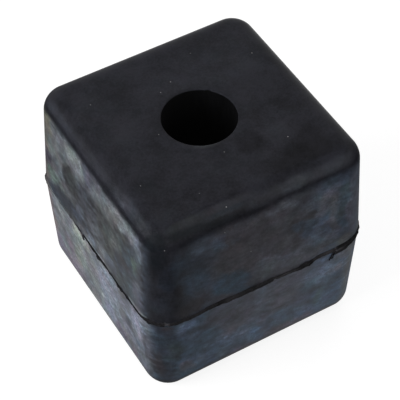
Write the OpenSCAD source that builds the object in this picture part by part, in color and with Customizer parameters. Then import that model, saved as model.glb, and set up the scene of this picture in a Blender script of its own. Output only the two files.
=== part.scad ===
// Rubber buffer: a square compression-moulded block with a round bore.
// Two equal mould halves meet at mid height, so each half tapers away from
// the parting plane, and a thin lip of flash stands out where they met.
// Z = 0 is the face it stands on, and the bore runs up the Z axis.

/* [Block] */
// Width across X, measured at the parting plane (mm)
width = 80; // [66:1:110]
// Depth across Y, measured at the parting plane (mm)
depth = 80; // [66:1:110]
// Height over both mould halves (mm)
height = 77; // [50:1:100]

/* [Moulded form] */
// Draft of the side walls in each half (degrees)
draft = 3; // [0.5:0.5:5]
// Radius of the upright corners at the parting plane (mm)
corner_radius = 10; // [7:0.5:20]
// Radius that rolls the side walls into the end faces (mm)
edge_radius = 7; // [2:0.5:8]

/* [Bore] */
// Diameter of the bore, which goes straight through (mm)
bore_diameter = 24; // [10:0.5:45]

/* [Flash] */
// How far the flash stands out from the parting line (mm)
flash_proud = 0.45; // [0.2:0.05:1.2]
// Thickness of the flash, half of it in each mould half (mm)
flash_thickness = 1.5; // [0.6:0.1:3]

/* [Hidden] */
$fn = 96;
cut_margin = 1;       // the bore's cutter passes each end face by this much
least_end_flat = 0.5; // least flat left in an end face between corner roundings
arc_overlap = 0.002;  // the rounding's arc crosses the wall by this, for a clean join

// Sizes that straight walls and turned corners share are kept on a 1 micron grid,
// so that their sections meet exactly.
function on_grid(v) = round(v * 1000) / 1000;

half_height = height / 2;
half_width = width / 2;
half_depth = depth / 2;
draft_inset = on_grid(half_height * tan(draft)); // how far a wall leans in by the end face
edge_reach = tan(45 - draft / 2);                // run of the rounding per mm of its radius
end_corner_radius = corner_radius - draft_inset;
edge_limit = (end_corner_radius - least_end_flat) / edge_reach;
edge = on_grid(min(edge_radius, edge_limit));    // the rounding stays inside its own corner
arc_inset = on_grid(draft_inset + edge * edge_reach - arc_overlap);
arc_height = half_height - edge;
arc_start = arc_height + on_grid(edge * sin(draft)); // where the wall ends and the arc begins

// Half of the section through one mould half. X = 0 is the middle of a side, or
// the axis of an upright corner, and foot is where the wall stands at the parting
// plane. The wall leans in by the draft and rolls into the end face.
module half_section(foot) {
    intersection() {
        polygon([[0, 0], [foot, 0], [foot - draft_inset, half_height], [0, half_height]]);
        union() {
            square([foot, arc_start]);
            square([foot - arc_inset, half_height]);
            translate([foot - arc_inset, arc_height]) circle(r = edge);
        }
    }
}

// The section swept straight along Y, for the two walls at foot from the middle.
module wall_pair(foot, length) {
    rotate([90, 0, 0]) linear_extrude(height = length, center = true) {
        half_section(foot);
        mirror([1, 0, 0]) half_section(foot);
    }
}

// The same section turned a quarter turn about the axis of each upright corner.
module upright_corners() {
    for (mx = [0, 1], my = [0, 1])
        mirror([mx, 0, 0]) mirror([0, my, 0])
            translate([half_width - corner_radius, half_depth - corner_radius, 0])
                rotate_extrude(angle = 90) half_section(corner_radius);
}

// One mould half, standing on the parting plane.
module mould_half() {
    wall_pair(half_width, depth - 2 * corner_radius);
    rotate([0, 0, 90]) wall_pair(half_depth, width - 2 * corner_radius);
    upright_corners();
}

// Plan of the block at the parting plane, grown all round by a margin.
module parting_outline(margin) {
    square([width + 2 * margin, depth - 2 * corner_radius], center = true);
    square([width - 2 * corner_radius, depth + 2 * margin], center = true);
    for (x = [-1, 1], y = [-1, 1])
        translate([x * (half_width - corner_radius), y * (half_depth - corner_radius)])
            circle(r = corner_radius + margin);
}

// Thin lip squeezed out between the mould halves.
module flash() {
    linear_extrude(height = flash_thickness, center = true) parting_outline(flash_proud);
}

module bore() {
    cylinder(h = height + 2 * cut_margin, d = bore_diameter, center = true);
}

module buffer_block() {
    color("#2c2c30") translate([0, 0, half_height]) difference() {
        union() {
            mould_half();
            mirror([0, 0, 1]) mould_half();
            flash();
        }
        bore();
    }
}

buffer_block();
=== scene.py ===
# %% [markdown]
# # A rubber buffer with its moulding flash
# The object is one block of compression-moulded rubber, about 80 mm square and
# 77 mm high, with a round bore. Uncured rubber was pressed between two mould
# halves, so the walls lean in from a parting line at mid height, and a thin torn
# lip of flash still stands there. Waxes in the rubber have crept to the surface
# since, as a pale, uneven film that the trade calls bloom.
#
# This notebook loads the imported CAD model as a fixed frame, then builds one
# detailed skin over it: the same block, with a torn flash and a real surface.

# %% Load the frame
import math

import bpy
import numpy as np
from mathutils import Euler, Matrix, Vector, noise


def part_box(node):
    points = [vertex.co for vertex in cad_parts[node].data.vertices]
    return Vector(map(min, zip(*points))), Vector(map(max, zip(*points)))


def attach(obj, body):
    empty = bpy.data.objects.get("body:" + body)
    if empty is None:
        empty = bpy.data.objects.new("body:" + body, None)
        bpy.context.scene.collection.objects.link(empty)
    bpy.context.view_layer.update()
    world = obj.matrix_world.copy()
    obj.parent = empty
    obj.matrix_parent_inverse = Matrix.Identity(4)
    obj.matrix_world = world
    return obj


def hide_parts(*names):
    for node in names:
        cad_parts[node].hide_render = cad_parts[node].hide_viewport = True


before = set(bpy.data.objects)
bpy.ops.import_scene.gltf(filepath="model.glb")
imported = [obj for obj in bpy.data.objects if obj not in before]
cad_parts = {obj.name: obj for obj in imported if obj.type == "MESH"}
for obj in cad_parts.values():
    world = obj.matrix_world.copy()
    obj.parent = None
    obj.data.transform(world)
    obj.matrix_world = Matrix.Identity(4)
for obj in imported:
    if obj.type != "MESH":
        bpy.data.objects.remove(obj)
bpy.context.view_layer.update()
scene = bpy.context.scene
MM = 0.001  # the scene is in metres, and the sizes below are in mm
low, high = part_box("buffer_block")
height = (high.z - low.z) / MM
print("CAD block:", [round(v / MM, 2) for v in (high - low)], "mm")

# %% [markdown]
# ## Camera
# A long lens from about half a metre keeps the walls nearly parallel. The camera
# stands in front and to the left, and looks down on the block, so that the upper
# face and two walls show. It is placed by the direction it looks in and its
# distance, which is easier to reason about than three coordinates.

# %% Camera
view_azimuth = math.radians(-30.23)   # turned this far from the front wall
view_elevation = math.radians(48.91)  # and looking down this much
view_distance = 522.9 * MM
view_roll = math.radians(-0.45)
focal_length = 143.7  # on a sensor 36 mm wide
aim = Vector((-0.15, -0.20, height / 2 - 0.24)) * MM

towards_camera = Vector((
    math.cos(view_elevation) * math.sin(view_azimuth),
    -math.cos(view_elevation) * math.cos(view_azimuth),
    math.sin(view_elevation),
))
camera_data = bpy.data.cameras.new("camera")
camera_data.sensor_width = 36
camera_data.lens = focal_length
camera = bpy.data.objects.new("camera", camera_data)
scene.collection.objects.link(camera)
facing = towards_camera.to_track_quat("Z", "Y").to_matrix().to_4x4()
stand = Matrix.Translation(aim + towards_camera * view_distance)
camera.matrix_world = stand @ facing @ Matrix.Rotation(view_roll, 4, "Z")
scene.camera = camera
print("camera at", [round(v, 4) for v in stand.translation])

# %% [markdown]
# ## Colours and nodes
# Colours are written as sRGB hex, the way a paint card gives them, and Blender
# wants them linear, so one function turns them. A second one adds a shader node,
# with its settings and its inputs. An input is a plain value, a socket, or just
# the node that feeds it, and then its first output in use is taken.

# %% Colour and node helpers
def linear(hex_code):
    """The linear red, green and blue of an sRGB hex colour."""
    channels = [int(hex_code[i:i + 2], 16) / 255 for i in (1, 3, 5)]
    return [c / 12.92 if c <= 0.04045 else ((c + 0.055) / 1.055) ** 2.4 for c in channels]


def add_node(tree, kind, inputs=None, **settings):
    """Adds a shader node; each input, by name or number, takes a value, a socket or another node."""
    node = tree.nodes.new("ShaderNode" + kind)
    for name, value in settings.items():
        setattr(node, name, value)
    for name, value in (inputs or {}).items():
        if isinstance(value, bpy.types.Node):
            value = next(output for output in value.outputs if output.enabled)
        if isinstance(value, bpy.types.NodeSocket):
            tree.links.new(value, node.inputs[name])
        else:
            node.inputs[name].default_value = value
    return node


def new_material(name):
    """A material with an empty node tree."""
    material = bpy.data.materials.new(name)
    material.use_nodes = True
    material.node_tree.nodes.clear()
    return material, material.node_tree


NUMBER_A, NUMBER_B = 2, 3  # a Mix node's two inputs when it mixes numbers
COLOUR_A, COLOUR_B = 6, 7  # and when it mixes colours
print("sRGB #808080, half way up the scale, reflects", round(linear("#808080")[0], 3))

# %% [markdown]
# ## Floor and light
# Black rubber shows what stands around it. Its walls mirror the white table at
# their foot, more and more at grazing angles, and go dark where they mirror the
# unlit room beyond it. So the floor is white to the camera, while to reflections
# it fades with distance, as a small lit table does. Above it, reflections see a
# faint band of sky, dimmer behind the block, and a white card that stands there
# low down. Soft lamps and the sky give plain light, a little stronger from the
# left, and the lamps stay out of reflections.
#
# The paper glows a little by itself, and the lamps bring it up to white, so that
# the block can still throw a soft shadow on it. Farther off it glows full white
# and meets the white backdrop without an edge.

# %% Sky
sky_light = 0.33  # what the sky gives to every surface
sky_mirrored = (  # (sine of elevation, grey) of the band that reflections see
    (0.00, 0.02), (0.40, 0.26), (0.62, 0.22), (0.78, 0.08), (1.00, 0.06),
)
toward_back = (0.50, 0.86, 0)  # behind the block and a little to its right
back_share = 0.65              # what is left of the band there
card_grey = 0.30               # how bright reflections see the card
card_top = 0.4                 # sine of the elevation where the card ends

world = bpy.data.worlds.new("studio_sky")
scene.world = world
world.use_nodes = True
sky = world.node_tree
sky.nodes.clear()
ray = add_node(sky, "LightPath")
direction = add_node(sky, "TexCoord")
elevation = add_node(sky, "SeparateXYZ", {0: direction}).outputs["Z"]
band = add_node(sky, "ValToRGB", {0: elevation})
stops = band.color_ramp.elements
for i, (place, grey) in enumerate(sky_mirrored):
    stop = stops[i] if i < 2 else stops.new(place)  # a ramp starts with two
    stop.position = place
    stop.color = (grey, grey, grey, 1)
behind = add_node(sky, "VectorMath", {0: direction, 1: toward_back}, operation="DOT_PRODUCT")
dimmed = add_node(sky, "MapRange", {
    "Value": behind, "From Min": 0.0, "From Max": 0.8, "To Min": 1.0, "To Max": back_share,
})
banded = add_node(sky, "Math", {0: band, 1: dimmed}, operation="MULTIPLY")
card = add_node(sky, "MapRange", {
    "Value": behind, "From Min": 0.3, "From Max": 0.8, "To Min": 0.0, "To Max": card_grey,
}, interpolation_type="SMOOTHSTEP")
low_down = add_node(sky, "MapRange", {
    "Value": elevation, "From Min": 0.0, "From Max": card_top, "To Min": 1.0, "To Max": 0.0,
}, interpolation_type="SMOOTHSTEP")
mirrored = add_node(sky, "Math", {0: card, 1: low_down, 2: banded}, operation="MULTIPLY_ADD")
lit = add_node(sky, "Mix", {
    0: ray.outputs["Is Glossy Ray"], COLOUR_A: (sky_light, sky_light, sky_light, 1), COLOUR_B: mirrored,
}, data_type="RGBA")
seen = add_node(sky, "Mix", {
    0: ray.outputs["Is Camera Ray"], COLOUR_A: lit, COLOUR_B: (1, 1, 1, 1),
}, data_type="RGBA")
background = add_node(sky, "Background", {"Color": seen})
add_node(sky, "OutputWorld", {"Surface": background})
print("sky:", sky_light, "as light, at most", max(grey for _, grey in sky_mirrored), "mirrored")

# %% Floor
lit_pools = (  # (centre x, y, radius in mm, brightness) of the table, as reflections see it
    (-50, 15, 80, 0.35), (25, -55, 75, 0.30), (0, 0, 150, 0.08), (80, -15, 60, 0.25),
    (150, 150, 200, 0.60), (300, 500, 600, 0.45),
)
glow_near, glow_far = 0.86, 1.0  # the paper's own white, at the block and away from it
near, far = 0.15, 0.60           # metres from the block between which it grows
paper_grey = 0.26                # what the lamps add to it, which a shadow takes away
bounce_grey = 0.5                # what it throws back onto the walls

bpy.ops.mesh.primitive_plane_add(size=6)
floor = bpy.context.object
floor.name = "floor"
paper, tree = new_material("white_paper")
ray = add_node(tree, "LightPath")
place = add_node(tree, "NewGeometry")
mirrored = 0.0
for pool_x, pool_y, radius, brightness in lit_pools:
    middle = (pool_x * MM, pool_y * MM, 0)
    away = add_node(tree, "VectorMath", {0: place, 1: middle}, operation="DISTANCE")
    pool = add_node(tree, "MapRange", {
        "Value": away, "From Min": 0.0, "From Max": radius * MM, "To Min": brightness, "To Max": 0.0,
    }, interpolation_type="SMOOTHSTEP")
    mirrored = add_node(tree, "Math", {0: mirrored, 1: pool})
reflected = add_node(tree, "Emission", {"Strength": mirrored})
from_block = add_node(tree, "VectorMath", {0: place}, operation="LENGTH")
whiteness = add_node(tree, "MapRange", {
    "Value": from_block, "From Min": near, "From Max": far, "To Min": glow_near, "To Max": glow_far,
}, interpolation_type="SMOOTHSTEP")
glow = add_node(tree, "Emission", {"Strength": whiteness})
shade = add_node(tree, "BsdfDiffuse", {"Color": (paper_grey, paper_grey, paper_grey, 1)})
white = add_node(tree, "AddShader", {0: glow, 1: shade})
bounce = add_node(tree, "BsdfDiffuse", {"Color": (bounce_grey, bounce_grey, bounce_grey, 1)})
shown = add_node(tree, "MixShader", {0: ray.outputs["Is Camera Ray"], 1: bounce, 2: white})
surface = add_node(tree, "MixShader", {0: ray.outputs["Is Glossy Ray"], 1: shown, 2: reflected})
add_node(tree, "OutputMaterial", {"Surface": surface})
floor.data.materials.append(paper)
print("floor:", len(lit_pools), "lit pools,", len(tree.nodes), "nodes")

# %% Lamps
def soft_lamp(name, direction, distance, size, level):
    """A square lamp that gives a white card facing it from the block this level of brightness."""
    data = bpy.data.lights.new(name, "AREA")
    data.size = size
    data.energy = level * math.pi ** 2 * distance ** 2
    lamp = bpy.data.objects.new(name, data)
    lamp.location = Vector(direction).normalized() * distance + aim
    lamp.rotation_euler = Vector(direction).to_track_quat("Z", "Y").to_euler()
    lamp.visible_glossy = False
    scene.collection.objects.link(lamp)
    print(name, round(data.energy, 2), "W")


soft_lamp("key_left", (-0.85, 0.10, 0.50), distance=0.75, size=0.5, level=0.80)
soft_lamp("fill_front", (0.35, -0.80, 0.50), distance=1.1, size=0.8, level=0.15)
soft_lamp("fill_back", (0.60, 0.70, 0.45), distance=1.1, size=0.8, level=0.25)

# %% [markdown]
# ## The block's form
# The skin is one grid of points: columns that go once around the block, and rings
# that go from the bore over the upper face, down the wall and back through the
# bore. Every ring is the same rounded square, moved in by some inset, so corners,
# draft and roundings all follow from one outline and one section. A grid made by
# formula keeps each edge true and lets the torn flash vary from column to column,
# which a sculpted or bevelled cube would not.

# %% Plan of the block
flash_proud = 0.45                                    # the CAD model's even lip of flash
half_width = (high.x - low.x) / MM / 2 - flash_proud  # wall to centre, at the parting line
half_height = height / 2
corner_radius = 10.0
edge_radius = 7.0
draft = math.radians(3)
bore_radius = 12.0
rim_radius = 0.25  # the bore's mouth is nearly sharp

straight = half_width - corner_radius
quarter = 2 * straight + corner_radius * math.pi / 2  # one wall with half of each corner
columns = 608
run = np.arange(columns) * 4 * quarter / columns  # mm around from the middle of the right wall
angle = run / (4 * quarter) * 2 * math.pi         # the same as an angle, for the bore


def outline(inset):
    """Points of the rounded square moved in by inset, one for each column."""
    side = np.floor(run / quarter + 0.5)
    along = run - side * quarter
    bend = np.sign(along) * np.clip(np.abs(along) - straight, 0, None) / corner_radius
    reach = corner_radius - inset
    out = straight + reach * np.cos(bend)
    across = np.clip(along, -straight, straight) + reach * np.sin(bend)
    turn = side * math.pi / 2
    return np.stack([
        out * np.cos(turn) - across * np.sin(turn),
        out * np.sin(turn) + across * np.cos(turn),
    ], axis=1)


def circle(radius):
    """Points of a circle around the bore's axis, one for each column."""
    return np.stack([radius * np.cos(angle), radius * np.sin(angle)], axis=1)


print("once around:", round(4 * quarter, 1), "mm, a column every", round(run[1], 2), "mm")

# %% End roundings
# Each ring knows its climb: the distance from the parting line, measured up over the surface.
rounding_rings = 15
centre_z = half_height - edge_radius
centre_inset = centre_z * math.tan(draft) + edge_radius / math.cos(draft)
wall_top = centre_z + edge_radius * math.sin(draft)
top_edge = [
    (centre_inset - edge_radius * math.cos(tilt), centre_z + edge_radius * math.sin(tilt),
     wall_top + edge_radius * (tilt - draft))
    for tilt in np.linspace(math.pi / 2, draft, rounding_rings)
]
flat_inset, _, flat_climb = top_edge[0]
print("rounding ends at z", round(wall_top, 2), "and the flat is", round(flat_inset, 2), "mm in")

# %% Places around the block
walls = {"right": 0, "back": 1, "left": 2, "front": 3}


def around(wall, along):
    """Distance around the block of a place on a wall, mm."""
    return (walls[wall] * quarter + along) % (4 * quarter)


def gap_from(wall, along, places):
    """Signed distance from a place on a wall to each of these places around the block, mm."""
    return (places - around(wall, along) + 2 * quarter) % (4 * quarter) - 2 * quarter


def between(knots, places):
    """Values at these places around the block, from knots of (wall, mm along it, value, value ...)."""
    in_order = sorted((around(wall, along), *values) for wall, along, *values in knots)
    knot_places, *knot_values = np.array(in_order).T
    return [np.interp(places, knot_places, values, period=4 * quarter) for values in knot_values]


print("walls start at", {wall: round(around(wall, -quarter / 2), 1) for wall in walls}, "mm around")

# %% [markdown]
# ## The torn flash
# Where the mould halves met, rubber crept between them into a skin under a
# millimetre thick. It was torn off by hand, which leaves a dark, rough lip that
# overhangs the lower wall, thick here and nearly gone there, with a few shreds.
# It could be a separate strip, but it grew from the same rubber, so its rings are
# part of the one skin. A few listed points per wall say where the lip starts,
# how low it hangs and how far it stands out; noise tears it in between.

# %% Flash shape, given point by point
# For each wall: (mm along it, top of the lip, foot of the lip, how far it stands out), and where there
# are any, dust, which pales the torn face, and a split, which grooves the middle of the lip. Both run
# from 0 to 1, and heights are in mm from the parting line.
flash_points = {
    "front": [
        (-38, 0.6, -0.7, 0.45), (-36.4, 0.7, -0.8, 0.50), (-35.7, 1.4, -0.8, 0.55),
        (-35.2, 0.3, -0.2, 0.10, 0.5), (-34.8, 0.1, -0.3, 0.10, 0.5), (-34.2, 0.4, -0.6, 0.45, 0.05),
        (-30, 0.6, -0.4, 0.45, 0.05), (-26, 0.4, -1.0, 0.45, 0.05), (-23, 0.6, -0.7, 0.45, 0.1),
        (-21, 1.0, -0.4, 0.50, 0.05), (-16, 1.0, -0.3, 0.50), (-14, 0.9, -1.3, 0.50, 0.1),
        (-11, 0.6, -1.2, 0.50, 0.1), (-5, 0.5, -1.5, 0.55), (-2, 0.3, -1.7, 0.55, 0.05),
        (2.6, 0.4, -1.1, 0.55, 0.05), (3.4, 0.1, -0.4, 0.45, 0.1), (4.2, -0.1, -1.2, 0.45, 0.1, 0.6),
        (9, -0.4, -1.5, 0.50, 0.1, 0.5), (12.5, -0.7, -2.0, 0.55, 0.05, 0.3), (13.5, -0.2, -2.0, 0.60),
        (15, 0.2, -1.8, 0.65), (16.5, -0.2, -2.4, 0.65), (17.4, -0.1, -2.0, 0.60),
        (18.2, 0.1, -1.2, 0.50, 0.1), (20, 0.5, -0.8, 0.45, 0.1), (23, 0.6, -1.2, 0.45, 0.2),
        (25, 0.5, -1.2, 0.50, 0.2), (26.8, 0.5, -0.7, 0.50, 0.05), (27.2, 0.5, -2.8, 0.55, 0.0, 0.9),
        (28.8, 0.6, -2.5, 0.60, 0.0, 0.5), (30, 0.6, -2.3, 0.60), (32, 0.8, -1.7, 0.65),
        (33.5, 0.9, -1.1, 0.55), (37, 0.8, -0.9, 0.45),
    ],
    "right": [
        (-37.4, 0.8, -0.8, 0.40), (-36.4, 0.3, -0.4, 0.22, 0.05), (-28, 0.5, -0.8, 0.45, 0.05),
        (0, 0.4, -0.9, 0.50, 0.3, 0.4), (12, 0.5, -1.5, 0.60), (30, 0.4, -0.7, 0.45, 0.1),
    ],
    "back": [
        (-30, 0.4, -0.8, 0.45, 0.1), (-12, 0.5, -1.1, 0.50), (14, 0.4, -0.8, 0.45, 0.3),
        (30, 0.5, -1.0, 0.50, 0.1),
    ],
    "left": [
        (-37, 0.1, -0.3, 0.40, 0.1), (-30, -0.1, -0.2, 0.12, 0.4), (-12, -0.1, -0.2, 0.12, 0.4),
        (-10.5, 0.2, -0.2, 0.22, 0.1), (-8, 0.3, -0.2, 0.25), (-7, 0.2, -1.4, 0.40), (-6, 0.2, -1.2, 0.40),
        (-5, 0.3, -0.2, 0.28), (-2, 0.4, -0.2, 0.35), (3, 0.5, -0.4, 0.38), (4, 0.5, -1.6, 0.42),
        (5, 0.5, -1.2, 0.40), (6.2, 0.4, -0.4, 0.35), (8.5, 0.4, -0.3, 0.32), (10.5, 0.1, -0.3, 0.24, 0.1),
        (16, 0.0, -0.4, 0.25), (17.5, 0.1, -1.2, 0.38), (19, 0.2, -1.0, 0.38), (20.5, 0.2, -0.5, 0.32),
        (24, 0.3, -0.5, 0.34), (27, 0.1, -0.3, 0.30), (31, 0.1, -0.3, 0.30), (33, 0.4, -0.2, 0.35),
        (34.3, 0.7, -0.5, 0.42), (35, 0.8, -1.5, 0.50), (35.8, 0.9, -0.7, 0.45),
    ],
}

# Shreds that hang below the lip: (wall, mm along it, half width, foot, lean in mm for each mm down)
shreds = [("front", 26.3, 0.28, -5.2, -0.35), ("left", -6.6, 0.5, -2.4, 0.3)]
print(sum(map(len, flash_points.values())), "points and", len(shreds), "shreds set by hand")

# %% Flash shape around the block
askew = np.array(Euler((0.6, 0.4, 0.9)).to_matrix())  # keeps the noise from lining up with the walls
seed_step = np.array((17.3, 5.1, 9.7))                # carries each seed to its own part of the noise
fade, finer = 0.6, 2                                  # how each octave weakens, and is twice as fine
gain = 1.6                                            # brings the noise to about -1 to 1


def rough(points, grain, seed, octaves=1):
    """Noise at each point, mostly from -1 to 1, with features of about this grain in mm and finer."""
    places = points @ askew / grain + seed * seed_step
    return np.array([noise.fractal(place, fade, finer, octaves) for place in places]) * gain


flash_knots = [
    (wall, *point, *[0] * (6 - len(point)))  # with no dust and no split, unless it says so
    for wall, points in flash_points.items() for point in points
]
lip_top, lip_foot, lip_reach, lip_dust, lip_split = between(flash_knots, run)
parting = np.column_stack([outline(0), np.zeros(columns)])
tear = rough(parting, grain=1.3, seed=1)
swell = rough(parting, grain=4, seed=3)
fray = rough(parting, grain=0.7, seed=15)
lip_top += 0.12 * rough(parting, grain=5, seed=2)                              # mm
lip_foot += (lip_top - lip_foot) * (0.16 * tear + 0.12 * swell) + 0.10 * fray  # shares of the lip, and mm
lip_reach *= 1 + 0.25 * tear
print("lip is", round((lip_top - lip_foot).mean(), 2), "mm high on average")

# %% Shreds
root_width = 0.5  # mm beside a shred where the lip is drawn in, so that it hangs as a thread
drawn_in = 0.42   # mm
shred_dust = 0.4
lean = np.zeros(columns)
pinch = np.zeros(columns)
for wall, along, half_size, foot, slant in shreds:
    gap = gap_from(wall, along, run)
    away = np.abs(gap)
    on_shred = away < half_size
    beside = (away > half_size) & (away < half_size + root_width)
    lip_foot = np.where(on_shred, foot, lip_foot)
    lip_dust = np.where(on_shred, shred_dust, lip_dust)
    lean += slant * np.clip(1.5 - away / 1.5, 0, 1)  # its neighbours lean with it, up to 2 mm away
    pinch -= np.sign(gap) * drawn_in * beside
print("lip hangs to", round(lip_foot.min(), 2), "mm and stands out", round(lip_reach.max(), 2), "mm")

# %% [markdown]
# ## The rings, one after another
# The rings are now laid in order: up the bore, over its mouth, across the upper
# face, round the edge and down the wall, over the lip, and the same way back from
# below. Each ring remembers which part of the block it is on, because the bore and
# the torn rubber get finishes of their own. On the walls the rings crowd toward
# the lip, where the shape changes fastest.

# %% Helpers that lay rings
rings = []  # (points of every column, climb of every column, part of the block)
wall_rings = 34
crowding = 1.25     # above 1, a wall's rings draw together toward the lip
least_climb = 0.01  # keeps its sign, which tells the upper half from the lower


def add_ring(flat, z, climb, part):
    """Adds a ring from its points in plan, its height and its climb."""
    ring = np.column_stack([flat, np.broadcast_to(z, columns)])
    rings.append((ring, np.broadcast_to(climb, columns), part))


def on_wall(z):
    """Plan of a drafted wall at this height, which may vary by column."""
    return outline(np.abs(z) * math.tan(draft))


def add_wall(start, stop, up):
    """Rings down a drafted wall, from one height to another, either of which may vary by column."""
    for share in np.linspace(0, 1, wall_rings + 2)[1:-1]:
        share = 1 - (1 - share) ** crowding if up > 0 else share ** crowding
        z = start * (1 - share) + stop * share
        add_ring(on_wall(z), z, up * np.maximum(up * z, least_climb), "wall")


def add_flat(shares, up):
    """Rings of an end face, by their share of the way from the bore to the rounding."""
    for share in shares:
        flat = circle(bore_radius + rim_radius) * (1 - share) + outline(flat_inset) * share
        climb = flat_climb + (1 - share) * (half_width - flat_inset - bore_radius)
        add_ring(flat, up * half_height, up * climb, "flat")


print("a wall takes", wall_rings, "rings, about", round(wall_top / wall_rings, 1), "mm apart")

# %% Bore, upper face and upper wall
bore_rings = 8
flat_shares = np.linspace(0, 1, 19)[1:-1]
mouth = [
    (bore_radius + rim_radius * (1 - math.cos(t)), half_height - rim_radius * (1 - math.sin(t)))
    for t in np.linspace(0, math.pi / 2, 4)
]
chip_depth = 0.35  # a small chip in the upper rim, mm deep
chip_angle = 0.79  # radians around the bore
chip_width = 0.06  # radians
chip = chip_depth * np.exp(-((angle - chip_angle) / chip_width) ** 2)
lip_margin = 0.15  # mm between the lip and the nearest rings of the walls
above_lip = lip_top + lip_margin
below_lip = lip_foot - lip_margin

for z in np.linspace(1 - half_height, half_height - 1, bore_rings):
    add_ring(circle(bore_radius), z, half_width, "bore")
for radius, z in mouth:
    add_ring(circle(radius + chip), z, half_width, "flat")
add_flat(flat_shares, 1)
for inset, z, climb in top_edge:
    add_ring(outline(inset), z, climb, "wall")
add_wall(wall_top, above_lip, 1)
add_ring(on_wall(above_lip), above_lip, np.maximum(above_lip, least_climb), "wall")
print(len(rings), "rings down to the lip")

# %% Lip
# Across the lip: (share of the way down, share of its reach, mm of tearing, share of the split)
lip_section = (
    (0.00, 0.00, 0.00, 0), (0.06, 0.45, 0.00, 0), (0.18, 0.90, 0.08, 0), (0.32, 0.80, 0.14, 0),
    (0.42, 0.70, 0.14, 1), (0.56, 0.75, 0.18, 1), (0.64, 0.95, 0.18, 0), (0.82, 1.00, 0.14, 0),
    (0.97, 0.90, 0.08, 0), (1.00, 0.75, 0.00, 0), (0.98, 0.00, 0.00, 0),
)
outward = outline(-1) - outline(0)
along_wall = np.column_stack([-outward[:, 1], outward[:, 0]])
squeeze = 4        # the tearing varies this much faster down the lip than along it
split_depth = 0.8  # of the lip's reach
split_dust = 0.7
pinch_from = 0.3  # share of the way down where a shred's root begins
torn_dust = []
for share, reach, tearing, split in lip_section:
    z = lip_top * (1 - share) + lip_foot * share
    torn_edge = np.column_stack([outline(0), z * squeeze])
    out = lip_reach * reach + tearing * rough(torn_edge, grain=1.6, seed=4, octaves=2)
    out *= 1 - split_depth * split * lip_split
    sideways = lean * (lip_top - z) + pinch * (share > pinch_from)
    add_ring(on_wall(z) + outward * out[:, None] + along_wall * sideways[:, None], z, z, "torn")
    torn_dust.append(np.maximum(lip_dust, split_dust * split * lip_split))
print("the lip takes", len(lip_section), "rings")

# %% Lower wall, lower face and way back
add_ring(on_wall(below_lip), below_lip, below_lip, "wall")
add_wall(below_lip, -wall_top, -1)
for inset, z, climb in top_edge[::-1]:
    add_ring(outline(inset), -z, -climb, "wall")
add_flat(flat_shares[::-1], -1)
for radius, z in mouth[::-1]:
    add_ring(circle(radius), -z, -half_width, "flat")
print(len(rings), "rings of", columns, "points:", 2 * len(rings) * columns, "triangles")

# %% Mesh of the skin
points = np.concatenate([ring for ring, climb, part in rings])
climb = np.concatenate([climb for ring, climb, part in rings])
ring_part = np.array([part for ring, climb, part in rings])
parts = np.repeat(ring_part, columns)
ring_ids, column_ids = np.divmod(np.arange(len(points)), columns)
next_ring = (ring_ids + 1) % len(rings) * columns
next_column = (column_ids + 1) % columns
faces = np.column_stack([
    ring_ids * columns + column_ids, next_ring + column_ids,
    next_ring + next_column, ring_ids * columns + next_column,
])
stands_at = np.array((0, 0, half_height))  # lifts the parting line off the floor
mesh = bpy.data.meshes.new("buffer_skin")
mesh.from_pydata((points + stands_at) * MM, [], faces.tolist())
mesh.update()
skin = bpy.data.objects.new("buffer_skin", mesh)
scene.collection.objects.link(skin)
side_face = mesh.polygons[len(rings) // 3 * columns].normal
print("a face of the right wall looks along", [round(v, 2) for v in side_face])

# %% [markdown]
# ## Bloom
# Wax bloom is a film a few hundred nanometres thick. Handling rubs it off edges
# and corners, and where it stays it scatters pale light, tinted by interference:
# grey where thick, blue, teal or mauve where thin. A noise texture alone gives
# even blotches, and a real block has a history instead. So broad fields are set
# first, as amounts along each wall above and below the parting line, and soft
# spots are then laid over them one by one, the way a scenic painter would. The
# result is stored at each point of the mesh as an amount and a tint.
# On the left wall and on the roundings the same amounts also carry painted light: paler film for light and
# reflection there, painted highlights and painted shade.

# %% Tints of the film
tints = {  # what a thick film of each tint looks like
    "straw": "#939284", "cream": "#95908e", "rose": "#9a8e91", "brown": "#8c8b98",
    "mauve": "#8f8a9c", "lavender": "#8a8fa2", "chalk": "#a5a9a4", "ash": "#8b9298",
    "haze": "#8d919a", "grey": "#88909f", "pewter": "#858da3", "olive": "#88928f",
    "green": "#859c94", "teal": "#7893a3", "slate": "#7f95b0", "steel": "#7992b1",
    "navy": "#7092b2", "deep": "#6491b3",
    "painted_dark_reflection": "#0e1b21", "jet": "#08080a",  # not bloom: the first is painted shade, the dark reflection on the front rounding and its corner; the second darkens patches of the upper face
}
print(len(tints), "tints")

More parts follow.
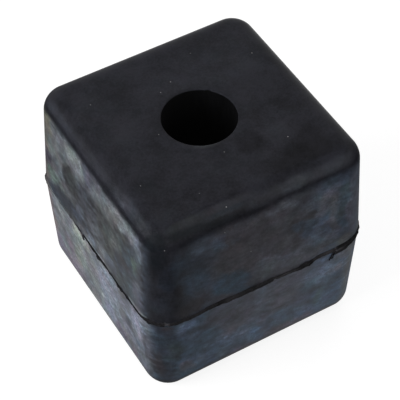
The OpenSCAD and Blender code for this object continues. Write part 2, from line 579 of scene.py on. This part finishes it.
# %% Bloom fields
# For each wall: (mm along it, bloom in % above the parting line, and below it, tint above, tint below)
bloom_and_painted_light_fields = {
    "front": [
        (-38, 2, 6, "grey", "navy"), (-34, 2, 15, "grey", "slate"), (-30, 3, 22, "slate", "navy"),
        (-22, 10, 25, "slate", "navy"), (-14, 14, 25, "brown", "pewter"), (0, 13, 28, "brown", "pewter"),
        (12, 14, 30, "brown", "pewter"), (20, 24, 31, "slate", "steel"), (30, 24, 35, "slate", "steel"),
        (34, 25, 42, "pewter", "ash"), (36, 16, 34, "slate", "slate"),
    ],
    "right": [
        (-30, 14, 34, "slate", "slate"), (0, 18, 40, "grey", "grey"), (25, 10, 34, "teal", "slate"),
    ],
    "back": [
        (-25, 16, 40, "slate", "grey"), (0, 12, 45, "olive", "grey"), (25, 20, 50, "ash", "ash"),
    ],
    # The left wall is partly bloom and partly painted light: its fields are set far paler than the other
    # walls' to stand for more light from the left and more of the white table mirrored at a grazing angle.
    "left": [
        (-36, 28, 60, "cream", "rose"), (-31, 36, 60, "cream", "rose"), (-28, 34, 58, "ash", "ash"),
        (-22, 28, 52, "ash", "ash"), (-15, 10, 60, "olive", "ash"), (-4, 14, 64, "grey", "ash"),
        (6, 13, 68, "olive", "haze"), (14, 13, 68, "olive", "grey"), (24, 13, 62, "teal", "grey"),
        (31, 17, 56, "grey", "grey"), (34, 6, 32, "slate", "grey"), (36, 2, 15, "grey", "slate"),
    ],
}
field_knots = [
    (wall, along, above / 100, under / 100, *linear(tints[tint_above]), *linear(tints[tint_under]))
    for wall, fields in bloom_and_painted_light_fields.items()
    for along, above, under, tint_above, tint_under in fields
]
point_run = run[column_ids]
above, under, *hues = between(field_knots, point_run)
is_above = climb > 0
film_dust_and_painted_light = np.where(is_above, above, under)
tint = np.where(is_above[:, None], np.stack(hues[:3], axis=1), np.stack(hues[3:], axis=1))
print("fields of bloom, from", round(film_dust_and_painted_light.min(), 2), "to", round(film_dust_and_painted_light.max(), 2))

# %% [markdown]
# ### Spots of bloom
# A spot is a rounded patch with soft edges: a place, a size, how far it leans, how
# much bloom it holds and its tint. It hides what lies under it by its own weight,
# so the order counts, as with paint. Its edge wanders by a millimetre or two of
# smooth noise, which keeps it from looking stamped. The numbers are given one
# patch at a time.

# %% How a spot is laid
drift = 1.5 * rough(points, grain=7, seed=5, octaves=5)  # mm that a spot's edge wanders along the wall
sway = 1.1 * rough(points, grain=7, seed=7, octaves=5)   # and up and down it
squareness = 2.5                                         # 2 would make an ellipse
soft_edge = (0.6, 1.4)                                   # shares of its size where it fades out


def smooth_step(value, start, stop):
    """Goes smoothly from 0 at start to 1 at stop."""
    share = np.clip((value - start) / (stop - start), 0, 1)
    return share ** 2 * (3 - 2 * share)


def lay_spot(gap, rise, half_length, half_rise, percent, tint_name, where=1):
    """Lays one spot; gap and rise are how far each point is from its middle, along the wall and up it."""
    away = np.abs(gap / half_length) ** squareness + np.abs(rise / half_rise) ** squareness
    weight = where * (1 - smooth_step(away ** (1 / squareness), *soft_edge))
    laid = percent / 100 * weight
    film_dust_and_painted_light[:] = film_dust_and_painted_light * (1 - weight) + laid
    share = laid / np.maximum(film_dust_and_painted_light, 0.0001)
    tint[:] += (np.array(linear(tints[tint_name])) - tint) * share[:, None]


def lay_on_walls(spots_of_walls, wander=1):
    """Lays each wall's spots, each on its own side of the parting line."""
    for wall, spots in spots_of_walls.items():
        for along, level, half_length, half_rise, percent, tint_name, *leans in spots:
            gap = gap_from(wall, along, point_run + wander * drift)
            rise = climb - level + wander * sway * min(1, half_rise / 2)  # a low spot sways less
            lean = leans[0] if leans else 0
            cos, sin = math.cos(lean), math.sin(lean)
            same_half = is_above == (level > 0)
            lay_spot(gap * cos + rise * sin, rise * cos - gap * sin,
                     half_length, half_rise, percent, tint_name, same_half)


print("a spot's edge wanders by up to", round(np.abs(drift).max(), 1), "mm")

# %% Spots on the walls
# For each wall: (mm along it, climb, half its length, half its height, bloom in %, tint), and where a
# spot leans, by how many radians
bloom_and_painted_light_spots = {
    "front": [
        (-27, 23, 6, 6, 8, "navy"), (-24, 28, 3, 2.5, 11, "slate"), (-16, 27, 4, 3.5, 18, "slate"),
        (-10, 27.5, 2, 3, 15, "slate"), (-13, 26, 0.7, 4, 10, "brown"), (-24, 14, 3.5, 4, 12, "navy"),
        (-27, 4, 5, 4, 5, "brown"), (-35, 19, 2.5, 4, 3, "navy"), (-37, 9, 3, 4, 4, "slate"),
        (-31, 14, 2, 3, 0, "brown"), (2, 20, 13, 6, 13, "brown"), (6, 26, 4, 4, 17, "brown"),
        (12, 13, 3, 2.5, 8, "brown"), (-12, 6.5, 8, 4.5, 16, "deep", -0.45), (-12, 17, 5, 4, 10, "brown"),
        (0, 8.5, 5, 3, 22, "grey"), (8, 4, 11, 3, 20, "grey"), (17.5, 16, 3, 4, 17, "navy"),
        (17, 21.5, 2.5, 1.5, 11, "brown"), (13.5, 18.5, 3, 1.8, 21, "steel"),
        (9, 31.3, 9.5, 2.2, 27, "grey"), (-8, 28, 7, 2.5, 18, "brown"), (23, 22, 4, 7, 33, "grey"),
        (21.5, 13, 3, 4.5, 30, "steel"), (24.5, 13, 2, 4, 30, "grey"), (25, 8, 4, 3, 23, "pewter"),
        (29, 25, 2.5, 4, 27, "teal"), (25, 22, 2, 2, 32, "grey"), (29, 16, 2, 4, 18, "teal"),
        (31, 11.5, 3.5, 2.5, 25, "navy"), (29, 5, 3, 3, 17, "slate"), (33, 17, 2, 13, 26, "pewter"),
        (28, 31.5, 7, 1.5, 12, "slate"), (22, 1.2, 9, 0.4, 26, "grey"), (21, 3.8, 5, 2.2, 17, "grey"),
        (31, 2.4, 4, 1.8, 36, "ash"), (33, -4.5, 3, 1.5, 60, "ash"), (29, -5.5, 3, 2.5, 44, "grey"),
        (-36, -30, 4, 2.5, 10, "slate"), (-35.3, -2.4, 1.5, 1.2, 12, "brown"),
        (-38, -23, 2.5, 5, 10, "brown"), (-33, -16, 3, 4, 16, "teal"), (-28.5, -6, 3.8, 5, 38, "steel"),
        (-13, -8, 9, 6, 22, "pewter", 0.1), (2, -9, 9, 6, 29, "pewter", 0.1),
        (-19.5, -15, 5, 5, 16.5, "navy"), (-18, -26, 12, 5, 33, "steel"),
        (-28, -26.5, 3, 3, 31, "lavender"), (-3, -27, 3.5, 5, 38, "steel"), (-10, -25, 4, 3, 28, "steel"),
        (9, -26, 7, 5, 32, "slate"), (3.5, -17.8, 5, 0.8, 14, "pewter", -0.2),
        (2, -14.3, 4.5, 0.6, 20, "pewter", -0.2), (14, -5, 4, 2.5, 25, "pewter"),
        (20, -11, 5, 6, 39, "slate", 0.2), (25, -10, 3.5, 5, 48, "slate"),
        (25, -20.9, 5.5, 1.0, 20, "steel", -0.05), (26, -23, 4, 2.2, 26, "steel"),
        (-6, -21, 4, 1.6, 30, "slate"), (22, -28, 9, 3, 38, "steel"), (21, -23, 2, 4, 29, "teal"),
        (27, -12, 3, 2.5, 43, "lavender"), (-8, -33, 4, 1.5, 40, "mauve"), (15, -32, 5, 2, 42, "mauve"),
        (-13, -31, 4, 1.5, 38, "slate"), (6, -31, 4, 1.5, 38, "mauve"),
    ],
    "right": [
        (-22, 20, 6, 8, 25, "slate"), (5, 15, 9, 6, 8, "brown"), (20, 8, 5, 4, 25, "grey", 0.4),
        (-5, -12, 10, 5, 50, "lavender", 0.3), (18, -20, 6, 6, 25, "teal"),
    ],
    "back": [
        (15, 24, 8, 6, 32, "grey"), (-8, 12, 9, 7, 6, "olive", 0.3), (-22, 6, 4, 4, 26, "slate"),
        (8, -14, 9, 6, 58, "grey"), (-18, -22, 7, 5, 30, "mauve"),
    ],
    # The left wall's spots are partly painted light too: the pale band just under its rounding and the
    # pale column near the front corner are painted reflection.
    "left": [
        (-5, 30.5, 27, 7, 38, "ash"), (-11.5, 30.5, 4.5, 6.2, 70, "ash"), (-30.5, 28, 3.5, 9, 42, "straw"),
        (-2, 31, 4, 6, 36, "lavender"), (16, 32.5, 11, 4.8, 54, "ash"), (17, 31, 3, 3.5, 66, "ash"),
        (29, 30, 2.5, 6, 50, "grey"), (24, 32.5, 4, 5, 60, "ash"), (-18, 17, 4, 4, 8, "olive", -0.3),
        (-25, 18, 5, 10, 40, "ash"), (-31, 15, 3.5, 3, 18, "mauve"), (-32, 3, 4, 2, 22, "cream"),
        (-25, 9, 5, 3, 40, "green"), (-17, 10, 4, 2.5, 26, "ash"), (-18, 4, 9, 3, 7, "slate"),
        (-24, 2.5, 6, 2, 9, "slate"), (-9, 5, 5, 3, 10, "slate"), (-7, 10, 3, 2.5, 27, "grey"),
        (3, 10.5, 4, 2.5, 31, "grey"), (-3, 17.5, 6, 5, 14, "grey"), (7, 18, 5, 5, 13, "olive"),
        (15, 17, 4, 4, 20, "olive"), (18, 11, 3, 4, 10, "slate"), (23, 16, 3.5, 5, 11, "teal"),
        (18, 25, 4, 1.5, 8, "olive"), (21, 13.5, 4, 1.5, 7, "grey"), (-4, 1.6, 5, 1.2, 32, "ash"),
        (0, 3, 3, 2.2, 64, "grey"), (8, 4.5, 4, 3.5, 45, "ash"), (13, 5, 3, 3, 26, "grey"),
        (28.5, 19, 1.8, 3.5, 26, "green"), (29, 8, 3, 4, 30, "lavender"), (3, 0.9, 8, 0.5, 70, "ash"),
        (28, 1.0, 5, 0.5, 70, "ash"), (-9.5, -4.8, 5.5, 3, 100, "chalk"), (0, -4, 2.5, 1.8, 50, "ash"),
        (6, -6, 4, 3, 86, "grey"), (6.5, -16, 5, 9, 80, "grey"), (-24, -15, 4, 8, 49, "haze"),
        (-25, -5, 4, 2, 78, "ash"), (-18, -4, 3, 2, 50, "haze"), (-18, -20, 3, 5, 50, "mauve"),
        (-12, -13, 4, 8, 76, "olive"), (-10, -26, 5, 4, 46, "haze"), (6, -27, 4, 4, 74, "lavender"),
        (18, -4, 3, 1.5, 54, "ash"), (20, -17, 3.5, 4, 42, "haze"), (28, -8, 3, 6, 94, "lavender"),
        (20, -26, 6, 4, 50, "haze"), (21, -19, 4, 3, 42, "grey"), (21.5, -15.5, 1.5, 2.5, 28, "slate"),
        (26, -21, 1.2, 1, 36, "slate"), (-20, -29, 9, 3.5, 47, "mauve"), (15, -29, 4.5, 3, 40, "mauve"),
        (24, -30, 2.5, 2, 62, "mauve"), (30, -25, 1.5, 6, 48, "grey"), (33, -18, 1.2, 7, 24, "grey"),
        (-29, -28, 3, 5, 46, "mauve"),
    ],
}
lay_on_walls(bloom_and_painted_light_spots)
print(sum(map(len, bloom_and_painted_light_spots.values())), "spots laid over the fields")

# %% [markdown]
# ### Rubbed ends
# Hands and tables touch the edges first, so the bloom ends in a soft line just
# under each rounding. Beyond it the rubber is nearly clean and shows its own
# charcoal, with a breath of film and a few darker patches on the upper face. The
# two roundings that show most also get painted highlights, and painted shade where
# they mirror the dark room.

# %% Rubbed edges, end faces, and painted highlights and shade on the roundings
[fades_from] = between([  # the climb at which the bloom begins to fade, above the parting line
    ("right", 0, 31.4), ("back", 0, 31.4), ("left", -30, 32.0), ("left", 5, 32.0), ("left", 22, 31.6),
    ("front", -20, 30.6), ("front", 30, 30.6),
], point_run)
rubbed_from = np.where(is_above, fades_from, wall_top - 0.5)
rubbed_by = wall_top + 2.6  # the climb at which the last of it is gone
film_dust_and_painted_light *= 1 - smooth_step(np.abs(climb), rubbed_from, rubbed_by)
on_end = smooth_step(np.abs(climb), wall_top, flat_climb)
tint += (np.array(linear(tints["grey"])) - tint) * on_end[:, None]
film_dust_and_painted_light += 0.014 * on_end

# The same rows as above, for the two roundings that show most. They are painted light, not bloom:
# the grey, ash and teal spots are painted highlights along the roundings, and the darkest spots are
# painted shade, the dark reflection on the front rounding and its corner.
painted_rounding_highlights_and_shade = {
    "left": [
        (-4, 36.7, 34, 1.3, 4.5, "grey"), (22, 37.4, 9, 1.9, 7.5, "grey"), (-25, 36.8, 6, 1.2, 7, "grey"),
    ],
    "front": [
        (25, 36.7, 11, 1.9, 5.5, "grey"), (11, 36.8, 6, 2.0, 9, "grey"), (0, 36.4, 6, 2.4, 4.5, "grey"),
        (-24, 36.8, 9, 1.5, 40, "painted_dark_reflection"), (-39, 35.5, 4, 3, 40, "painted_dark_reflection"), (-37.5, 29, 3, 5, 30, "painted_dark_reflection"),
        (-19, 39.2, 16, 1.4, 7.5, "ash"), (-13, 37.6, 7, 0.8, 5, "teal"), (-14, 35.2, 6, 1.2, 25, "painted_dark_reflection"),
    ],
}
# On the upper face: (x, y, half size along x, half size along y, bloom in %, tint)
top_spots = [
    (0, 30, 30, 4, 1.4, "grey"), (0, 19, 12, 3, 2.4, "grey"), (1, 15.8, 4, 2.5, 3.6, "grey"),
    (19, 17, 13, 8, 2.8, "grey"), (-28, 14, 8, 11, 2.6, "grey"), (17, -16.5, 5, 2, 3, "grey"),
    (27, -19, 5, 5, 0.2, "grey"), (24, -24, 6, 3, 20, "jet"), (-18, -25, 4, 3, 0.2, "grey"),
    (-18, -2, 3, 5, 0.8, "grey"), (-31, -32, 5, 4, 3.6, "grey"), (-10, -30, 8, 4, 0.4, "grey"),
    (26, -2, 6, 9, 0.6, "grey"), (8, -17, 4, 3, 18, "jet"), (-6, -21, 6, 4, 2, "grey"),
    (19, -29, 13, 3.5, 35, "jet"),
]
lay_on_walls(painted_rounding_highlights_and_shade, wander=0.3)
x, y, _ = points.T
on_top = climb > flat_climb - 2
for at_x, at_y, half_x, half_y, percent, tint_name in top_spots:
    lay_spot(x + drift - at_x, y + sway - at_y, half_x, half_y, percent, tint_name, on_top)
print("mean bloom on the upper face", round(film_dust_and_painted_light[on_top].mean(), 4))

# %% [markdown]
# ### Mottling
# The hand-set bloom is still too smooth. Three noises break it up: soft clouds of
# about a centimetre, streaks drawn out along the walls, and scuffs of a few
# millimetres, which need bloom to show in. Where a wall has been handled, finer
# scratches cross it. The mesh has a point every half millimetre or so around the
# block and every millimetre up it, and the material adds what is finer than that.

# %% Noises of the mottling
cloud = rough(points * (1, 1, 1.3), grain=9, seed=9, octaves=6)
streak = rough(points * (1, 1, 3), grain=6, seed=11, octaves=4)
scuff = rough(points * (1, 1, 1.6), grain=3, seed=17, octaves=4)
scratches = rough(points * (1, 0.6, 1.6), grain=2, seed=19, octaves=3)
print("clouds run from", round(cloud.min(), 2), "to", round(cloud.max(), 2))

# %% Mottling laid on the bloom
# Clouds are stronger below the parting line, and weaker in thick bloom and on the end faces.
[scratched] = between([  # how scratched each wall is, from 0 to 1
    ("right", 0, 0.6), ("back", 0, 0.8), ("left", -28, 0.2), ("left", -14, 1.0), ("left", 30, 1.0),
    ("front", -36, 0.1), ("front", 30, 0.1),
], point_run)
scratched *= 1 - on_end
[clouded] = between([  # how strong the clouds are above the parting line
    ("right", 0, 1.0), ("back", 0, 1.0), ("left", -30, 0.7), ("left", 30, 0.7), ("front", -34, 1.0),
], point_run)
unevenness = np.where(is_above, clouded, 1.35) * (1 - 0.8 * film_dust_and_painted_light) * (1 - 0.7 * on_end)
film_dust_and_painted_light *= np.clip(1 + (0.38 * cloud + 0.12 * streak) * unevenness, 0.1, 2)
scuff_depth = 0.035 * smooth_step(film_dust_and_painted_light, 0, 0.2) + 0.07 * smooth_step(film_dust_and_painted_light, 0.15, 0.6)
film_dust_and_painted_light += scuff * (1 - on_end) * scuff_depth
film_dust_and_painted_light += scratches * scratched * smooth_step(film_dust_and_painted_light, 0.04, 0.1) * (0.10 - 0.02 * film_dust_and_painted_light)
film_dust_and_painted_light = np.clip(film_dust_and_painted_light + 0.004, 0, 1)                      # a faint film clouds even the rubbed faces
film_dust_and_painted_light[parts == "torn"] = np.concatenate(torn_dust)        # the tear has dust on it, and no bloom
warm = 0.05 * rough(points, grain=6, seed=13, octaves=3)  # small shifts of the tint, toward red
cool = 0.04 * rough(points, grain=5, seed=14, octaves=4)  # and toward green
tint = np.clip(tint * (1 + np.stack([warm - cool, cool, -warm], axis=1)), 0, 1)
print("mean bloom on the walls", round(film_dust_and_painted_light[parts == "wall"].mean(), 3))

# %% Store it in the mesh
# The tint is stored already weighed by the bloom, so that between two points the thicker film
# decides the colour. "even" tells the material where the film is too even to break up.
# The amount and the tint also hold the painted light laid above: the left wall's paler film, and the
# painted highlights and shade on the roundings.
weighed_tint = np.column_stack([tint * film_dust_and_painted_light[:, None], film_dust_and_painted_light])
too_even = np.maximum(on_end, 0.45 - 0.45 * scratched)
for name, kind, field, values in (
    ("film_dust_and_painted_light", "FLOAT", "value", film_dust_and_painted_light),
    ("film_and_painted_light_colour", "FLOAT_COLOR", "color", weighed_tint.ravel()),
    ("even", "FLOAT", "value", too_even),
):
    mesh.attributes.new(name, kind, "POINT").data.foreach_set(field, values)
    print("stored", name, "from", round(values.min(), 2), "to", round(values.max(), 2))

# %% [markdown]
# ## Rubber
# The amount in the mesh also carries painted light, so this colour holds painted highlights and painted
# shade as well as bloom.
# The compound is natural rubber filled with carbon black, which is why it is
# black: a charcoal that reflects about a seventieth of the light. Pressed against
# machined steel it takes a satin surface, IOR 1.52 and roughness near 0.4, with
# the faint grain of the mould. That gives the eye soft, wide highlights on the
# roundings, and deep shade between them. Bloom is laid over it as a paler, duller
# colour by the amount stored in the mesh, broken up at a scale finer than the mesh
# can hold. An image texture could do that too, but only down to its own grain,
# and it would have to be made first. Noise needs no file.
#
# All three finishes below are the same compound, so they end in the same shader
# and keep its IOR. They differ in colour, in roughness and in their bump.

# %% Shared by the three rubbers
rubber_ior = 1.52


def two_tone(tree, texture, dark, pale):
    """Turns a noise into a colour, dark where it is low and pale where it is high."""
    ramp = add_node(tree, "ValToRGB", {0: texture})
    for stop, position, hex_code in zip(ramp.color_ramp.elements, (0.35, 0.70), (dark, pale)):
        stop.position = position
        stop.color = (*linear(hex_code), 1)
    return ramp


def finish_rubber(tree, colour, roughness, height, strength, depth):
    """Ends a rubber's tree: a bump from this height, depth in mm, and the compound's shader."""
    bump = add_node(tree, "Bump", {"Height": height, "Strength": strength, "Distance": depth * MM})
    shader = add_node(tree, "BsdfPrincipled", {
        "Base Color": colour, "Roughness": roughness, "IOR": rubber_ior, "Normal": bump,
    })
    add_node(tree, "OutputMaterial", {"Surface": shader})
    print("finished with", len(tree.nodes), "nodes")


print("the compound has an IOR of", rubber_ior)

# %% Moulded rubber: textures
skin_material, tree = new_material("moulded_rubber_with_bloom_and_painted_light")
place = add_node(tree, "TexCoord").outputs["Object"]
amount = add_node(tree, "Attribute", attribute_name="film_dust_and_painted_light").outputs["Fac"]
film_and_painted_light_tint = add_node(tree, "Attribute", attribute_name="film_and_painted_light_colour")
even = add_node(tree, "Attribute", attribute_name="even").outputs["Fac"]
clouding = add_node(tree, "TexNoise", {  # soft patches of about a centimetre
    "Vector": place, "Scale": 1 / (9 * MM), "Detail": 7.0, "Roughness": 0.7,
})
pores = add_node(tree, "TexNoise", {  # real pores are finer: this is what still shows
    "Vector": place, "Scale": 1 / (0.8 * MM), "Detail": 2.0, "Roughness": 0.6,
})
along_walls = add_node(tree, "Mapping", {"Vector": place, "Scale": (0.6, 0.5, 1.3)})
fine = add_node(tree, "TexNoise", {  # short wisps that lie along the walls
    "Vector": along_walls, "Scale": 1 / (1.6 * MM), "Detail": 4.0, "Roughness": 0.75,
})
print(len(tree.nodes), "nodes read the mesh and draw its textures")

# %% Moulded rubber: charcoal
# The upper face was wiped by hand, in arcs around a point near the bore. Noise gets that look
# when its place is the distance from there, with only a share of the direction.
charcoal_dark, charcoal_pale = linear("#17171c"), linear("#26262d")
wiped_about = (6 * MM, -3 * MM, 0)
from_middle = add_node(tree, "VectorMath", {0: place, 1: wiped_about}, operation="SUBTRACT")
flat_place = add_node(tree, "VectorMath", {0: from_middle, 1: (1, 1, 0)}, operation="MULTIPLY")
radius = add_node(tree, "VectorMath", {0: flat_place}, operation="LENGTH")
outward_only = add_node(tree, "CombineXYZ", {"Z": radius})
ringed = add_node(tree, "VectorMath", {
    0: flat_place, 1: (0.4, 0.4, 0), 2: outward_only,
}, operation="MULTIPLY_ADD")
wiped = add_node(tree, "TexNoise", {
    "Vector": ringed, "Scale": 1 / (4 * MM), "Detail": 3.0, "Roughness": 0.5,
})
pale_share = 0.5
for texture, weight in ((clouding, 3.4), (wiped, 0.8), (pores, 2.0)):
    around_zero = add_node(tree, "Math", {0: texture, 1: 0.5}, operation="SUBTRACT")
    pale_share = add_node(tree, "Math", {
        0: around_zero, 1: weight, 2: pale_share,
    }, operation="MULTIPLY_ADD", use_clamp=True)
charcoal = add_node(tree, "Mix", {
    0: pale_share, COLOUR_A: (*charcoal_dark, 1), COLOUR_B: (*charcoal_pale, 1),
}, data_type="RGBA")
print("charcoal reflects", round(charcoal_dark[1], 4), "to", round(charcoal_pale[1], 4))

# %% Moulded rubber: bloom and painted light over the charcoal
# Wisps make the film thicker and thinner, less where it lies evenly. Thick film is chalky, so
# its speckle grows with the amount. Then the film hides the charcoal and adds its own colour.
patchy = add_node(tree, "MapRange", {
    "Value": fine, "From Min": 0.3, "From Max": 0.7, "To Min": 0.35, "To Max": 1.65,
})
evenness = add_node(tree, "MapRange", {
    "Value": clouding, "From Min": 0.42, "From Max": 0.58, "To Min": 0.55, "To Max": 0.0,
})
evenness = add_node(tree, "Math", {0: evenness, 1: even}, operation="MAXIMUM")
patchy = add_node(tree, "Mix", {0: evenness, NUMBER_A: patchy, NUMBER_B: 1.0})
speckle = add_node(tree, "MapRange", {
    "Value": pores, "From Min": 0.3, "From Max": 0.7, "To Min": -0.45, "To Max": 0.45,
})
chalk = add_node(tree, "Math", {0: speckle, 1: amount}, operation="MULTIPLY")
broken = add_node(tree, "Math", {0: chalk, 1: patchy, 2: patchy}, operation="MULTIPLY_ADD")
film_and_painted_light = add_node(tree, "Math", {0: amount, 1: broken}, operation="MULTIPLY", use_clamp=True)
seen_through = add_node(tree, "Mix", {
    0: film_and_painted_light, COLOUR_A: charcoal, COLOUR_B: (0, 0, 0, 1),
}, data_type="RGBA")
scattered = add_node(tree, "VectorMath", {0: film_and_painted_light_tint, "Scale": broken}, operation="SCALE")
rubber = add_node(tree, "VectorMath", {0: seen_through, 1: scattered})
print(len(tree.nodes), "nodes with the bloom laid over")

# %% Moulded rubber: dust
# Pale grains about a third of a millimetre across, at (x, y, size) on the upper face and at
# (mm along it, climb, size) on a wall. Most dust is too fine to show, so these stand for it.
dust_on_top = [
    (0, 18, 1.0), (-5, 15.5, 0.9), (-14.5, 0, 0.8), (29, 16, 1.0), (19, -21, 1.1), (-1, -16.5, 0.8),
    (-26.5, 22, 0.8), (-34, 18, 0.6), (-29.5, -15.5, 0.8), (12, 26, 0.6), (-16, -27, 0.6),
]
dust_on_walls = {
    "front": [(-11.5, 39, 1.0), (-14, 31, 0.9), (-35, 33.5, 0.9), (-5, 17, 0.8)], "left": [(10, 11, 0.8)],
}
grains = [((x, y, height), size) for x, y, size in dust_on_top]
for wall, dusts in dust_on_walls.items():
    for along, level, size in dusts:
        away = np.hypot(gap_from(wall, along, point_run), climb - level)
        grains.append((points[np.argmin(away)] + stands_at, size))

nearest = 1.0  # metres: further than any grain
for grain_at, size in grains:
    away = add_node(tree, "VectorMath", {0: place, 1: Vector(grain_at) * MM}, operation="DISTANCE")
    away = add_node(tree, "Math", {0: away, 1: size}, operation="DIVIDE")
    nearest = add_node(tree, "Math", {0: nearest, 1: away}, operation="MINIMUM")
grain = add_node(tree, "MapRange", {
    "Value": nearest, "From Min": 0.10 * MM, "From Max": 0.22 * MM, "To Min": 0.5, "To Max": 0.0,
})
colour = add_node(tree, "Mix", {
    0: grain, COLOUR_A: rubber, COLOUR_B: (*linear("#c9c9c9"), 1),
}, data_type="RGBA")
print(len(grains), "grains of dust")

# %% Moulded rubber: gloss and mould grain
# Bare rubber has a satin shine and bloom is duller. The mould's grain is about a tenth of a
# millimetre, too fine to show, so it is drawn at nearly half a millimetre, and shallow.
gloss = add_node(tree, "MapRange", {
    "Value": film_and_painted_light, "From Min": 0.0, "From Max": 0.5, "To Min": 0.38, "To Max": 0.55,
})
mould_grain = add_node(tree, "TexNoise", {"Vector": place, "Scale": 1 / (0.45 * MM), "Detail": 2.0})
finish_rubber(tree, colour, gloss, mould_grain, strength=0.3, depth=0.05)

# %% [markdown]
# ## Torn and cored rubber
# The torn flash shows the inside of the compound, which no mould has pressed
# smooth: blacker, crumbly, and too rough to shine, with dust caught in it here and
# there. The bore was moulded around a steel pin that was then pulled out. No hand
# reaches in there, so it has no bloom. Its colour is painted shade: far blacker than
# the rubber outside, for the shade deep in the hole where hardly any light reaches,
# with faint marks along the pull, which give the eye a hole with no bottom.

# %% Torn rubber
# The crumbs of a tear are some tenths of a millimetre: the finer octaves of a noise of 2 mm.
torn_material, tree = new_material("torn_rubber")
place = add_node(tree, "TexCoord").outputs["Object"]
dust_on_tear = add_node(tree, "Attribute", attribute_name="film_dust_and_painted_light").outputs["Fac"]
crumbs = add_node(tree, "TexNoise", {
    "Vector": place, "Scale": 1 / (2.0 * MM), "Detail": 5.0, "Roughness": 0.75,
})
shade = two_tone(tree, crumbs, dark="#0c0c0e", pale="#29282b")
dusted = add_node(tree, "Mix", {
    0: dust_on_tear, COLOUR_A: shade, COLOUR_B: (*linear("#6c696f"), 1),
}, data_type="RGBA")
finish_rubber(tree, dusted, 0.85, crumbs, strength=0.8, depth=0.15)

# %% Bore rubber, painted dark as shade
bore_painted_shade_material, tree = new_material("cored_bore_rubber_painted_dark")
place = add_node(tree, "TexCoord").outputs["Object"]
drawn = add_node(tree, "Mapping", {"Vector": place, "Scale": (1, 1, 0.12)})  # out along the pull
marks = add_node(tree, "TexNoise", {"Vector": drawn, "Scale": 1 / (1.0 * MM), "Detail": 3.0})
# Both colours are painted shade, far darker than the moulded charcoal, for the dark depth of the bore.
shade = two_tone(tree, marks, dark="#060607", pale="#0c0c0e")
finish_rubber(tree, shade, 0.75, marks, strength=0.3, depth=0.05)

# %% [markdown]
# ## Finish
# Each face lies between two rings, and takes its material from the parts that they
# are on. The skin then rides on the block's one body and takes the place of its CAD
# solid, so the two never show at once. The look may stand only a little proud of
# the CAD model.

# %% Put the materials on
for material in (skin_material, torn_material, bore_painted_shade_material):
    mesh.materials.append(material)
next_part = np.roll(ring_part, -1)
ring_slot = np.where((ring_part == "torn") & (next_part == "torn"), 1, 0)
ring_slot[(ring_part == "bore") | (next_part == "bore")] = 2
mesh.polygons.foreach_set("material_index", np.repeat(ring_slot, columns))
mesh.polygons.foreach_set("use_smooth", np.ones(len(mesh.polygons), dtype=bool))
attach(skin, "root")
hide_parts("buffer_block")
for slot, material in enumerate(mesh.materials):
    print(material.name, "is on", int(np.sum(ring_slot == slot)) * columns, "faces")

# %% Finish
scene.view_settings.view_transform = "Standard"
